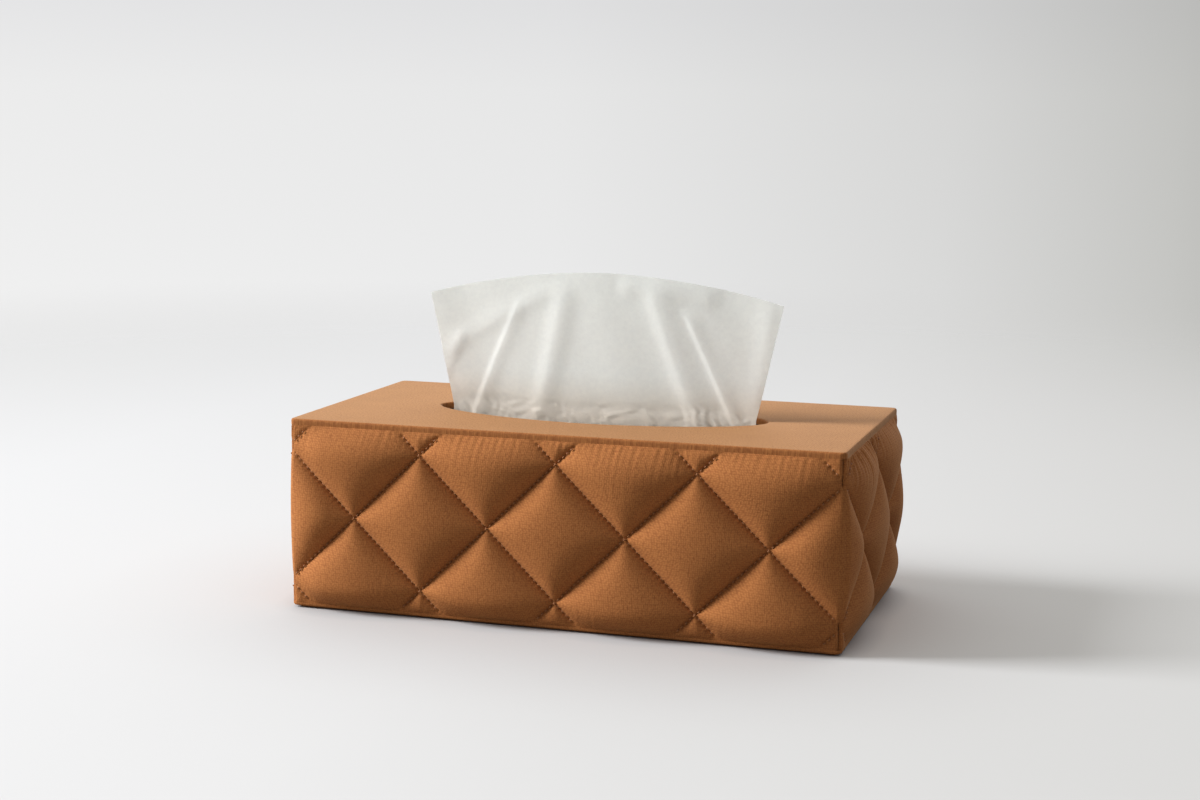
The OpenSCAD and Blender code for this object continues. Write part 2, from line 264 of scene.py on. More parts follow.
def quilt_lines(half, count, cells):
    """Grid lines that run through every crossing of the stitching."""
    step = 2 * half / count / cells
    s = -half + step * np.arange(count * cells + 1)
    rise = diamond_h / cells
    n = int(((seam_z - hem_z) / 2 - 0.3 * rise) / rise)
    middle = (seam_z + hem_z) / 2
    z = np.concatenate([[hem_z], middle + rise * np.arange(-n, n + 1), [seam_z]])
    return s, z


def place_wall(along, out, z, wall):
    """Turns points of a wall that faces the front to the wall's own side of the cover."""
    x, y = along, -(wall.half_out + out)
    c, s = math.cos(wall.turn), math.sin(wall.turn)
    return np.stack([x * c - y * s, x * s + y * c, z], axis=-1)


def quilted_wall(name, wall):
    """One padded wall as a closed mesh, split along its stitching lines."""
    half, pitch = wall.half, wall.pitch
    s_line, z_line = quilt_lines(half, wall.count, wall_cells)
    s, z = np.meshgrid(s_line, z_line)
    along, out, up = quilt_surface(s, z, wall)
    face = place_wall(along, out, up, wall).reshape(-1, 3)
    nc, nr = len(s_line), len(z_line)
    quads = grid_faces(nc, nr)
    s_mid = (s_line[:-1] + s_line[1:])[None, :] / 2 + np.zeros((nr - 1, 1))
    z_mid = (z_line[:-1] + z_line[1:])[:, None] / 2 + np.zeros((1, nc - 1))
    u, v = quilt_uv(s_mid, z_mid, half, pitch)
    falling = (np.abs(u - np.floor(u) - 0.5) < np.abs(v - np.floor(v) - 0.5)).ravel()
    a, b, c, d = quads.T
    first = np.where(falling[:, None], np.stack([a, b, d], 1), np.stack([a, b, c], 1))
    second = np.where(falling[:, None], np.stack([b, c, d], 1), np.stack([a, c, d], 1))
    faces = [tuple(f) for f in np.concatenate([first, second])]
    ring = np.concatenate([np.arange(nc), np.arange(1, nr) * nc + nc - 1,
                           (nr - 1) * nc + np.arange(nc - 2, -1, -1), np.arange(nr - 2, 0, -1) * nc])
    back_half = half - border_t
    ring_s = np.clip(s.ravel()[ring], -half, half) * back_half / half
    back = place_wall(ring_s, np.full(len(ring), -border_t), up.ravel()[ring], wall)
    m = len(ring)
    start = len(face)
    faces += [(ring[k], start + k, start + (k + 1) % m, ring[(k + 1) % m]) for k in range(m)]
    faces.append(tuple(start + np.arange(m)))
    piece = new_piece(name, np.concatenate([face, back]), faces)
    piece.data.polygons[len(piece.data.polygons) - 1].use_smooth = False
    return piece


def thread_bead(centre, direction, normal, length, radius):
    """Points and faces of one stitch: a short thread that dips into the fabric at both ends."""
    side = np.cross(direction, normal)
    rings, around = 5, 6
    points, faces = [], []
    for k in range(rings):
        t = -1 + 2 * k / (rings - 1)
        thick = radius * math.sqrt(max(0.12, 1 - 0.85 * t * t))
        middle = centre + direction * (t * length / 2) - normal * (radius * 1.1 * t * t)
        for i in range(around):
            a = 2 * math.pi * i / around
            points.append(middle + thick * (math.cos(a) * normal + math.sin(a) * side))
    for k in range(rings - 1):
        for i in range(around):
            j = (i + 1) % around
            faces.append((k * around + i, k * around + j, (k + 1) * around + j, (k + 1) * around + i))
    faces.append(tuple(range(around - 1, -1, -1)))
    faces.append(tuple((rings - 1) * around + i for i in range(around)))
    return points, faces


def sew(name, path_points, path_normals, length, radius):
    """Joins one stitch at each point of a seam into a piece."""
    points, faces = [], []
    for (centre, direction), normal in zip(path_points, path_normals):
        bead_points, bead_faces = thread_bead(centre, direction, normal, length, radius)
        faces += [tuple(len(points) + i for i in f) for f in bead_faces]
        points += bead_points
    return new_piece(name, points, faces)


def wall_stitching(name, wall):
    """Stitches along the diagonal lines of one wall."""
    half, pitch, side_length = wall.half, wall.pitch, wall.side_length
    seats, normals = [], []
    most = wall.count + 2
    step = 0.4 * MM / side_length
    for rising in (False, True):
        for line in range(-2, most + 2):
            for m in range(-3 * stitches_per_side, (most + 3) * stitches_per_side):
                across = line + 0.5
                along = (m + 0.5) / stitches_per_side
                u, v = (along, across) if rising else (across, along)
                s = (u + v) / 2 * pitch - half
                z = (u - v) / 2 * diamond_h + mid_z
                if not hem_z + stitch_end_gap < z < seam_z - stitch_end_gap:
                    continue
                if not abs(s) < half - stitch_corner_gap:
                    continue
                steps = ((0, 0), (step, 0)) if rising else ((0, 0), (0, step))
                near_s = np.array([(u + du + v + dv) / 2 * pitch - half for du, dv in steps])
                near_z = np.array([(u + du - v - dv) / 2 * diamond_h + mid_z for du, dv in steps])
                lift = slack_lift if rising else stitch_lift
                p = place_wall(*quilt_surface(near_s, near_z, wall, lift), wall)
                direction = p[1] - p[0]
                direction /= np.linalg.norm(direction)
                outward = np.array([math.sin(wall.turn), -math.cos(wall.turn), 0.0])
                normal = outward - direction * np.dot(outward, direction)
                normal /= np.linalg.norm(normal)
                seats.append((p[0], direction))
                normals.append(normal)
    return sew(name, seats, normals, side_length / stitches_per_side * stitch_share, thread_r)


# Top panel, hem and slot

def outline_samples():
    """Places round the cover's outline: which straight or corner, and how far along it."""
    samples = []
    arc_steps = 8
    for side, length in enumerate((2 * half_d, 2 * half_w, 2 * half_d, 2 * half_w)):
        count = int(length / (2.4 * MM))
        samples += [("straight", side, (k + 0.5) / count * 2 - 1) for k in range(count)]
        samples += [("corner", side, k / arc_steps) for k in range(arc_steps + 1)]
    return samples


def outline_point(sample, inset):
    """Point of the cover's outline, moved in by inset; the corner keeps a small radius."""
    kind, side, t = sample
    radius = max(corner_r - inset, 0.1 * MM)
    hw, hd = half_w - inset, half_d - inset
    # Side 0 is the right end, then the back, the left end and the front
    ends = [(hw, hd), (hd, hw), (hw, hd), (hd, hw)][side]
    if kind == "straight":
        x, y = ends[0], t * (ends[1] - radius)
    else:
        a = t * math.pi / 2
        x = ends[0] - radius + radius * math.cos(a)
        y = ends[1] - radius + radius * math.sin(a)
    turn = side * math.pi / 2
    return np.array([x * math.cos(turn) - y * math.sin(turn), x * math.sin(turn) + y * math.cos(turn)])


def slot_point(direction, grow):
    """Point of the slot's edge that faces the given point of the outline."""
    a = math.atan2(direction[1] / half_d, direction[0] / half_w)
    c, s = math.cos(a), math.sin(a)
    x = (slot_l / 2 + grow) * math.copysign(abs(c) ** (2 / slot_power), c)
    y = (slot_w / 2 + grow) * math.copysign(abs(s) ** (2 / slot_power), s)
    return np.array([x, y])


def lofted_ring(name, rings):
    """Closed mesh of rings of points, each joined to the next and the last to the first."""
    n = len(rings[0])
    points = np.concatenate(rings)
    faces = []
    for k in range(len(rings)):
        m = (k + 1) % len(rings)
        for i in range(n):
            j = (i + 1) % n
            faces.append((k * n + i, k * n + j, m * n + j, m * n + i))
    return new_piece(name, points, faces)


def quarter(steps):
    """Angles of a quarter round, from 0 to a right angle."""
    return [math.pi / 2 * k / steps for k in range(steps + 1)]


def top_panel():
    """Microfibre top: the band above the quilting, the flat and the edge turned into the slot."""
    samples = outline_samples()
    outer = [outline_point(s, 0) for s in samples]

    def ring_at(inset, z):
        return np.array([(*outline_point(s, inset), z) for s in samples])

    def slot_ring(grow, z):
        return np.array([(*slot_point(p, grow), z) for p in outer])

    rings = [ring_at(0, seam_z), ring_at(0, seam_z + 0.6 * MM)]
    rings += [ring_at(edge_r * (1 - math.cos(a)), cover_h - edge_r + edge_r * math.sin(a))
              for a in quarter(5)]
    spread = 26
    edge_ring = ring_at(edge_r, cover_h)
    lip_ring = slot_ring(rim_r, cover_h)
    for k in range(1, spread):
        t = k / spread
        rings.append(edge_ring * (1 - t) + lip_ring * t)
    rings += [slot_ring(rim_r * (1 - math.sin(a)), cover_h - rim_r * (1 - math.cos(a)))
              for a in quarter(6)]
    rings += [slot_ring(0, seam_z)]
    rings += [slot_ring(skin_t, seam_z), slot_ring(skin_t, cover_h - skin_t)]
    rings += [ring_at(skin_t, cover_h - skin_t), ring_at(skin_t, seam_z)]
    return lofted_ring("top_panel", rings)


def hem_strip():
    """Folded strip round the lower edge, with the walls standing inside it."""
    samples = outline_samples()
    # Distance in from the outline and height, in millimetres: it stands on a recessed foot
    profile = [(0.0, 2.8), (0.0, 1.9), (0.1, 1.5), (0.35, 1.2), (0.8, 1.0), (1.4, 0.75),
               (2.4, 0.6), (3.0, 0.45), (3.1, 0.1), (3.3, 0.0), (4.5, 0.0), (4.9, 0.2),
               (5.0, 0.5), (5.0, 2.6), (4.8, 2.8), (4.3, 2.8), (4.2, 2.6),
               (4.2, 0.8), (1.6, 0.8), (1.6, 2.8)]
    rings = []
    for inset, z in profile:
        rings.append(np.array([(*outline_point(s, inset * MM), z * MM) for s in samples]))
    return lofted_ring("hem_strip", rings)


# Tissues

# Folds of the pulled tissue, in millimetres: the foot, middle and head of the curve that a fold
# follows, each as x and height above the cover, how soft it is on its left and on its right,
# and how far it stands out
tissue_folds = [
    ((-66, -10), (-57, 18), (-39, 56), 2.0, 5.0, 0.6),
    ((-33, -10), (-24, 26), (-17, 66), 5.5, 6.5, 0.95),
    ((52, -10), (36, 24), (23, 66), 4.5, 8.0, 1.0),
    ((69, -10), (56, 20), (39, 54), 1.9, 5.0, 0.7),
    ((-100, 10), (-68, 38), (-16, 62), 5.0, 4.5, 0.5),
    ((6, 61), (30, 62), (60, 55), 5.0, 5.0, 0.6),
    ((-90, 0), (-76, 18), (-70, 40), 3.0, 3.0, 0.35),
    ((72, -8), (78, 22), (82, 60), 5.0, 4.0, 0.4),
    ((-84, 5.0), (-30, 0.0), (16, 3.2), 3.0, 2.8, -0.32),
    ((-6, 1.4), (34, 2.2), (66, 5.4), 3.0, 2.4, -0.32),
]
crumple_from, crumple_to = 38, 72


def tissue_half(z):
    """Half width of the pulled tissue at a height."""
    rise = np.maximum(0, z - cover_h) / (raised_h - raised_drop)
    return raised_foot + (raised_top - raised_foot) * rise


def fold_ridge(x, up, fold):
    """Ridge along a curve: full on it, soft to its left and right and fading at its ends."""
    foot, middle, head, left, right, out = fold
    steps = 48
    t = np.linspace(0, 1, steps + 1)
    line_x = (1 - t) ** 2 * foot[0] + 2 * t * (1 - t) * middle[0] + t * t * head[0]
    line_up = (1 - t) ** 2 * foot[1] + 2 * t * (1 - t) * middle[1] + t * t * head[1]
    nearest = np.hypot(x[..., None] - line_x, up[..., None] - line_up).argmin(axis=-1)
    slope_x, slope_up = np.gradient(line_x)[nearest], np.gradient(line_up)[nearest]
    step_length = np.hypot(slope_x, slope_up)
    off_x, off_up = x - line_x[nearest], up - line_up[nearest]
    beside = (off_x * slope_up - off_up * slope_x) / step_length
    along = (nearest + (off_x * slope_x + off_up * slope_up) / step_length ** 2) / steps
    soft = np.where(beside < 0, left, right)
    ends = eased(np.minimum(along, 1 - along) * 6)
    return out * np.exp(-(beside / soft) ** 2) * ends


def tissue_out(x, z):
    """How far the pulled tissue stands towards the front, in metres."""
    up = (z - cover_h) / MM
    xm = x / MM
    total = 1.0 * np.cos(xm * 0.04) + 0.5 * smooth_noise(xm + 0.35 * up, 17, 3)
    for fold in tissue_folds:
        total = total + fold_ridge(xm, up, fold)
    crumpled = eased((xm - crumple_from) / 8) * eased((crumple_to - xm) / 6) * eased((9 - up) / 8)
    crushed = 0.35 + 0.65 * crumpled
    small = smooth_noise(xm + up * 0.8, 2.6, 5) * smooth_noise(up - xm * 0.3, 2.2, 6)
    return (total + 0.9 * small * crushed * eased((8 - up) / 8)) * MM


def pulled_tissue():
    """Two-ply tissue: upright part, bend onto the pack and the run folded under itself."""
    rest_z = stack_high[2] + rest_gap
    bend_z = rest_z + 2 * turn_r + bend_r
    turn_y = sheet_l / 4 - 4 * MM
    across, up_steps, bend_steps, run_steps, turn_steps, under_steps = 280, 170, 8, 20, 10, 24
    share = np.linspace(-1, 1, across + 1)
    rows = []
    normals = []
    top = cover_h + raised_h - raised_drop * np.abs(share) ** 1.8
    for k in range(up_steps + 1):
        z = top + (bend_z - top) * k / up_steps
        x = share * tissue_half(z)
        whole = tissue_out(x, z)
        room = (slit_w / 2 - slit_margin) * np.clip(1 - (2 * x / slit_l) ** 2, 0, 1)
        held = np.clip(whole, -room, room)
        free = np.clip((z - film_z) / (cover_h + 8 * MM - film_z), 0, 1)
        near = np.clip((z - bend_z) / (film_z - bend_z), 0, 1)
        rows.append(np.stack([x, -near * (held + (whole - held) * free), z], 1))
        normals.append(np.tile((0.0, -1.0, 0.0), (across + 1, 1)))

    def level_row(half_share, y, z, angle):
        x = share * (raised_foot + (sheet_w / 2 - raised_foot) * half_share)
        rows.append(np.stack([x, np.full_like(x, y), np.full_like(x, z)], 1))
        normals.append(np.tile((0.0, math.cos(angle), math.sin(angle)), (across + 1, 1)))

    for k in range(1, bend_steps + 1):
        a = math.pi / 2 * k / bend_steps
        level_row(0, bend_r * (1 - math.cos(a)), bend_z - bend_r * math.sin(a), math.pi + a)
    for k in range(1, run_steps + 1):
        t = k / run_steps
        level_row(t, bend_r + (turn_y - bend_r) * t, rest_z + 2 * turn_r, 1.5 * math.pi)
    for k in range(1, turn_steps + 1):
        a = math.pi * k / turn_steps
        level_row(1, turn_y + turn_r * math.sin(a), rest_z + turn_r * (1 + math.cos(a)), 1.5 * math.pi - a)
    lower_run = (sheet_l - (cover_h + raised_h - bend_z) - bend_r * math.pi / 2 - (turn_y - bend_r)
                 - turn_r * math.pi)
    for k in range(1, under_steps + 1):
        level_row(1, turn_y - lower_run * k / under_steps, rest_z, math.pi / 2)
    route = np.concatenate(rows)
    facing = np.concatenate(normals)
    n = len(route)
    columns = across + 1
    quads = grid_faces(columns, len(rows))
    front = [tuple(f) for f in quads]
    back = [tuple(n + i for i in reversed(f)) for f in front]
    ring = np.concatenate([np.arange(columns), np.arange(1, len(rows)) * columns + columns - 1,
                           (len(rows) - 1) * columns + np.arange(columns - 2, -1, -1),
                           np.arange(len(rows) - 2, 0, -1) * columns])
    rim = [(ring[k], n + ring[k], n + ring[(k + 1) % len(ring)], ring[(k + 1) % len(ring)])
           for k in range(len(ring))]
    points = np.concatenate([route + facing * sheet_t / 2, route - facing * sheet_t / 2])
    return new_piece("pulled_tissue", points, front + back + rim)


def tissue_pack():
    """Pack of folded tissues, its sides stepped a little by the folded edges."""
    width = stack_high[0] - stack_low[0]
    depth = stack_high[1] - stack_low[1]
    layers = 60
    corner = 2.0 * MM
    rng = np.random.default_rng(11)
    rings = []

    def ring_at(inset, z):
        ring = []
        hw, hd = width / 2 - inset, depth / 2 - inset
        for cx, cy, start in ((1, 1, 0), (-1, 1, 90), (-1, -1, 180), (1, -1, 270)):
            for k in range(5):
                a = math.radians(start + 90 * k / 4)
                ring.append((cx * (hw - corner) + corner * math.cos(a),
                             cy * (hd - corner) + corner * math.sin(a), z))
        return np.array(ring)

    height = stack_high[2] - stack_low[2]
    for k in range(layers):
        low = stack_low[2] + height * k / layers
        thick = height / layers
        shift = rng.uniform(0, 0.35) * MM
        rings += [ring_at(shift + 0.3 * MM, low), ring_at(shift, low + thick * 0.35),
                  ring_at(shift, low + thick * 0.65)]
    rings.append(ring_at(0.5 * MM, stack_high[2]))
    n = len(rings[0])
    faces = []
    for k in range(len(rings) - 1):
        for i in range(n):
            j = (i + 1) % n
            faces.append((k * n + i, k * n + j, (k + 1) * n + j, (k + 1) * n + i))
    faces.append(tuple(range(n - 1, -1, -1)))
    faces.append(tuple((len(rings) - 1) * n + i for i in range(n)))
    return new_piece("tissue_pack", np.concatenate(rings), faces, smooth=False)


# Materials

# Pebbles of the knitted cloth per metre
knit_rows = 1000.0


def linear(hex_colour):
    """Linear colour of an sRGB hex value."""
    parts = [int(hex_colour[i:i + 2], 16) / 255 for i in (1, 3, 5)]
    return (*[c / 12.92 if c <= 0.04045 else ((c + 0.055) / 1.055) ** 2.4 for c in parts], 1.0)


def new_material(name):
    """Empty material, with its node tree."""
    material = bpy.data.materials.new(name)
    material.use_nodes = True
    material.node_tree.nodes.clear()
    return material, material.node_tree


def add_node(tree, kind, settings=None, links=None):
    """Adds a node with its settings, and links its inputs to other nodes' outputs."""
    node = tree.nodes.new(kind)
    for name, value in (settings or {}).items():
        if isinstance(name, int) or name in node.inputs:
            node.inputs[name].default_value = value
        else:
            setattr(node, name, value)
    for name, source in (links or {}).items():
        tree.links.new(source, node.inputs[name])
    return node


def ramp_between(tree, factor, low_hex, high_hex, low=0.3, high=0.7):
    """Colour that goes from one hex value to another as the factor rises."""
    share = add_node(tree, "ShaderNodeMapRange", {"From Min": low, "From Max": high}, {"Value": factor})
    mix = add_node(tree, "ShaderNodeMix", {"data_type": "RGBA", 6: linear(low_hex), 7: linear(high_hex)},
                   {0: share.outputs[0]})
    return mix.outputs[2]


def microfibre(name, dark_hex, light_hex, painted_sheen_dark_hex, painted_sheen_light_hex, painted_sheen_most, level=False):
    """Brushed microfibre, knitted and sanded: a short dense nap, matt and finely pebbled in rows
    about 1 mm apart. Its colour is painted paler where the surface is seen at a grazing angle, a
    painted sheen standing in for the light the nap throws back there."""
    material, tree = new_material(name)
    place = add_node(tree, "ShaderNodeTexCoord")
    apart = add_node(tree, "ShaderNodeSeparateXYZ", links={0: place.outputs["Object"]})
    if level:
        across, upward = apart.outputs["X"], apart.outputs["Y"]
    else:
        across = add_node(tree, "ShaderNodeMath", {"operation": "ADD"},
                          {0: apart.outputs["X"], 1: apart.outputs["Y"]}).outputs[0]
        upward = apart.outputs["Z"]
    cloth = add_node(tree, "ShaderNodeCombineXYZ", links={0: across, 1: upward})
    pebble = add_node(tree, "ShaderNodeTexVoronoi",
                      {"voronoi_dimensions": "2D", "feature": "SMOOTH_F1", "Scale": knit_rows,
                       "Smoothness": 0.5, "Randomness": 0.45}, {"Vector": cloth.outputs[0]})
    grain = add_node(tree, "ShaderNodeTexNoise", {"Scale": 900.0, "Detail": 3.0, "Roughness": 0.6},
                     {"Vector": place.outputs["Object"]})
    patch = add_node(tree, "ShaderNodeTexNoise", {"Scale": 60.0, "Detail": 4.0, "Roughness": 0.6},
                     {"Vector": place.outputs["Object"]})
    relief = add_node(tree, "ShaderNodeMath", {"operation": "SUBTRACT"},
                      {0: grain.outputs["Fac"], 1: pebble.outputs["Distance"]})
    both = add_node(tree, "ShaderNodeMath", {"operation": "MULTIPLY_ADD", 1: 0.35},
                    {0: patch.outputs["Fac"], 2: relief.outputs[0]})
    colour = ramp_between(tree, both.outputs[0], dark_hex, light_hex, -0.04, 0.64)
    # Painted sheen: a paler tan mixed into the colour as the surface turns to a grazing angle to the view, in
    # place of the light the nap throws back
    pale = ramp_between(tree, both.outputs[0], painted_sheen_dark_hex, painted_sheen_light_hex, -0.04, 0.64)
    angle = add_node(tree, "ShaderNodeLayerWeight", {"Blend": 0.5})
    painted_sheen_share = add_node(tree, "ShaderNodeMapRange",
                         {"From Min": 0.58, "From Max": 0.95, "To Max": painted_sheen_most},
                         {"Value": angle.outputs["Facing"]})
    shown = add_node(tree, "ShaderNodeMix", {"data_type": "RGBA"},
                     {0: painted_sheen_share.outputs[0], 6: colour, 7: pale})
    bump = add_node(tree, "ShaderNodeBump", {"Strength": 0.5, "Distance": 0.16 * MM},
                    {"Height": relief.outputs[0]})
    shader = add_node(tree, "ShaderNodeBsdfPrincipled",
                      {"Roughness": 0.86, "IOR": 1.45, "Specular IOR Level": 0.15,
                       "Sheen Weight": 0.12, "Sheen Roughness": 0.42, "Sheen Tint": linear("#E2B68C")},
                      {"Base Color": shown.outputs[2], "Normal": bump.outputs["Normal"]})
    add_node(tree, "ShaderNodeOutputMaterial", links={"Surface": shader.outputs[0]})
    return material


def spun_thread(name, dark_hex, light_hex):
    """Spun polyester sewing thread: fine twisted strands with a dull gloss."""
    material, tree = new_material(name)
    place = add_node(tree, "ShaderNodeTexCoord")
    strands = add_node(tree, "ShaderNodeTexNoise", {"Scale": 3500.0, "Detail": 2.0},
                       {"Vector": place.outputs["Object"]})
    colour = ramp_between(tree, strands.outputs["Fac"], dark_hex, light_hex)
    shader = add_node(tree, "ShaderNodeBsdfPrincipled",
                      {"Roughness": 0.55, "IOR": 1.5, "Specular IOR Level": 0.4}, {"Base Color": colour})
    add_node(tree, "ShaderNodeOutputMaterial", links={"Surface": shader.outputs[0]})
    return material


def fibre_board(name, dark_hex, light_hex):
    """Grey board pressed from waste paper, or folding carton: flecked short fibres, matt."""
    material, tree = new_material(name)
    place = add_node(tree, "ShaderNodeTexCoord")
    fibres = add_node(tree, "ShaderNodeTexNoise", {"Scale": 700.0, "Detail": 6.0, "Roughness": 0.7},
                      {"Vector": place.outputs["Object"]})
    colour = ramp_between(tree, fibres.outputs["Fac"], dark_hex, light_hex)
    bump = add_node(tree, "ShaderNodeBump", {"Strength": 0.3, "Distance": 0.05 * MM},
                    {"Height": fibres.outputs["Fac"]})
    shader = add_node(tree, "ShaderNodeBsdfPrincipled", {"Roughness": 0.85, "Specular IOR Level": 0.25},
                      {"Base Color": colour, "Normal": bump.outputs["Normal"]})
    add_node(tree, "ShaderNodeOutputMaterial", links={"Surface": shader.outputs[0]})
    return material


def woven_lining(name, dark_hex, light_hex):
    """Plain-weave polyester lining: threads about 0.5 mm apart, drawn by crossed waves."""
    material, tree = new_material(name)
    place = add_node(tree, "ShaderNodeTexCoord")
    thread_scale = 1 / (0.5 * MM) / 20 * math.pi
    height = None
    for direction in ("X", "Y", "Z"):
        wave = add_node(tree, "ShaderNodeTexWave",
                        {"bands_direction": direction, "Scale": thread_scale, "Distortion": 0.4},
                        {"Vector": place.outputs["Object"]})
        if height is None:
            height = wave.outputs["Fac"]
        else:
            height = add_node(tree, "ShaderNodeMath", {"operation": "ADD"},
                              {0: height, 1: wave.outputs["Fac"]}).outputs[0]
    colour = ramp_between(tree, height, dark_hex, light_hex, 0.6, 2.0)
    bump = add_node(tree, "ShaderNodeBump", {"Strength": 0.4, "Distance": 0.08 * MM}, {"Height": height})
    shader = add_node(tree, "ShaderNodeBsdfPrincipled", {"Roughness": 0.7, "Specular IOR Level": 0.3},
                      {"Base Color": colour, "Normal": bump.outputs["Normal"]})
    add_node(tree, "ShaderNodeOutputMaterial", links={"Surface": shader.outputs[0]})
    return material


def tissue_paper(name, dark_hex, light_hex):
    """Two-ply dry-creped tissue, calendered smooth: soft white fibres that let light through and
    shine faintly like satin. Low down, towards and in the slot, its white is painted a little darker
    and warmer: painted shade, and brown light painted in as if thrown back from the cloth around it."""
    material, tree = new_material(name)
    place = add_node(tree, "ShaderNodeTexCoord")
    fibres = add_node(tree, "ShaderNodeTexNoise", {"Scale": 500.0, "Detail": 5.0, "Roughness": 0.65},
                      {"Vector": place.outputs["Object"]})
    stretched = add_node(tree, "ShaderNodeMapping", {"Scale": (1.0, 1.0, 3.5)},
                         {"Vector": place.outputs["Object"]})
    crepe = add_node(tree, "ShaderNodeTexNoise", {"Scale": 420.0, "Detail": 3.0},
                     {"Vector": stretched.outputs[0]})
    white = ramp_between(tree, fibres.outputs["Fac"], dark_hex, light_hex)
    height = add_node(tree, "ShaderNodeSeparateXYZ", links={0: place.outputs["Object"]})
    # Painted shade and painted warm reflected light: the white is multiplied by a warm grey, fully below 84
    # mm and fading out by 112 mm
    painted_slot_shade = add_node(tree, "ShaderNodeMapRange",
                       {"interpolation_type": "SMOOTHSTEP", "From Min": 112 * MM, "From Max": 84 * MM},
                       {"Value": height.outputs["Z"]})
    colour = add_node(tree, "ShaderNodeMix",
                      {"data_type": "RGBA", "blend_type": "MULTIPLY", 7: linear("#F4EAE2")},
                      {0: painted_slot_shade.outputs[0], 6: white}).outputs[2]
    bump = add_node(tree, "ShaderNodeBump", {"Strength": 0.3, "Distance": 0.04 * MM},
                    {"Height": crepe.outputs["Fac"]})
    shader = add_node(tree, "ShaderNodeBsdfPrincipled",
                      {"Roughness": 0.42, "Specular IOR Level": 0.5},
                      {"Base Color": colour, "Normal": bump.outputs["Normal"]})
    through = add_node(tree, "ShaderNodeBsdfTranslucent", links={"Color": colour})
    mix = add_node(tree, "ShaderNodeMixShader", {0: 0.5},
                   {1: shader.outputs[0], 2: through.outputs[0]})
    add_node(tree, "ShaderNodeOutputMaterial", links={"Surface": mix.outputs[0]})
    return material


def clear_film(name):
    """Thin polyethylene window film: clear, a little hazy and slightly wavy."""
    material, tree = new_material(name)
    place = add_node(tree, "ShaderNodeTexCoord")
    waves = add_node(tree, "ShaderNodeTexNoise", {"Scale": 60.0, "Detail": 2.0},
                     {"Vector": place.outputs["Object"]})
    rough = add_node(tree, "ShaderNodeMapRange", {"To Min": 0.18, "To Max": 0.32},
                     {"Value": waves.outputs["Fac"]})
    bump = add_node(tree, "ShaderNodeBump", {"Strength": 0.2, "Distance": 0.3 * MM},
                    {"Height": waves.outputs["Fac"]})
    shader = add_node(tree, "ShaderNodeBsdfPrincipled",
                      {"Base Color": linear("#F6F2EE"), "IOR": 1.5, "Transmission Weight": 0.9},
                      {"Roughness": rough.outputs[0], "Normal": bump.outputs["Normal"]})
    add_node(tree, "ShaderNodeOutputMaterial", links={"Surface": shader.outputs[0]})
    return material


def give(obj, material):
    """Puts one material on an object, in place of what it had."""
    obj.data.materials.clear()
    obj.data.materials.append(material)


# Camera, floor and light

def set_camera():
    """Camera of the photo, solved from the cover's seven visible corners."""
    width_px = 1200
    focal_px = 2030.6
    azimuth, elevation, roll = (math.radians(a) for a in (17.377, 8.692, 0.547))
    target = Vector((-0.7 * MM, 0, 96.17 * MM))
    distance = 968.6 * MM
    back = Vector((math.sin(azimuth) * math.cos(elevation), -math.cos(azimuth) * math.cos(elevation),
                   math.sin(elevation)))
    right = (-back).cross(Vector((0, 0, 1))).normalized()
    up = right.cross(-back)
    right_rolled = right * math.cos(roll) + up * math.sin(roll)
    up_rolled = up * math.cos(roll) - right * math.sin(roll)
    data = bpy.data.cameras.new("camera")
    data.sensor_width = 36.0
    data.lens = focal_px / width_px * data.sensor_width
    data.clip_start = 0.05
    camera = bpy.data.objects.new("camera", data)
    turn = Matrix((right_rolled, up_rolled, back)).transposed().to_4x4()
    camera.matrix_world = Matrix.Translation(target + back * distance) @ turn
    bpy.context.scene.collection.objects.link(camera)
    bpy.context.scene.camera = camera


def area_light(name, azimuth, elevation, distance, size, power, colour):
    """Tall soft light, at an azimuth from the front towards the right, aimed at the cover."""
    data = bpy.data.lights.new(name, "AREA")
    data.shape = "RECTANGLE"
    data.size, data.size_y = size
    data.energy = power
    data.color = linear(colour)[:3]
    lamp = bpy.data.objects.new(name, data)
    a, e = math.radians(azimuth), math.radians(elevation)
    away = Vector((math.sin(a) * math.cos(e), -math.cos(a) * math.cos(e), math.sin(e)))
    lamp.location = Vector((0, 0, 60 * MM)) + away * distance
    lamp.rotation_euler = away.to_track_quat("Z", "Y").to_euler()
    bpy.context.scene.collection.objects.link(lamp)


def floor_disc():
    """Flat round floor, fine in the middle and coarse at its rim."""
    columns, rows = 97, 41
    points = [(0.0, 0.0, 0.0)]
    for j in range(1, rows):
        radius = 6.0 * (j / (rows - 1)) ** 2
        for i in range(columns - 1):
            a = 2 * math.pi * i / (columns - 1)
            points.append((radius * math.cos(a), radius * math.sin(a), 0.0))
    n = columns - 1
    faces = [(0, 1 + i, 1 + (i + 1) % n) for i in range(n)]
    for j in range(rows - 2):
        low, high = 1 + j * n, 1 + (j + 1) * n
        faces += [(low + i, high + i, high + (i + 1) % n, low + (i + 1) % n) for i in range(n)]
    return new_piece("floor_disc", points, faces)


